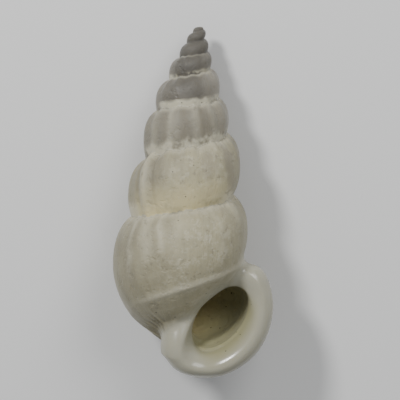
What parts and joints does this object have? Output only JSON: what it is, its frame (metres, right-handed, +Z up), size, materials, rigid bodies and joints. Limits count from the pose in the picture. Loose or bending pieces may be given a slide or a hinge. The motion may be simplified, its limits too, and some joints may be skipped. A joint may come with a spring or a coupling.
{
  "type": "wentletrap shell",
  "caption": "Tall spiral sea snail shell with rounded ribbed whorls and a thick smooth lip round its mouth, lying mouth up.",
  "frame": {"origin": "middle of the underside of the box round the resting shell", "axes": "+Z up from the table and out of the mouth, +Y towards the tip, +X towards the outer lip"},
  "size_m": [0.0074, 0.0156, 0.0061],
  "materials": {
    "shell": "satin"
  },
  "bodies": {
    "root": {"shell": "shell"}
  },
  "joints": []
}
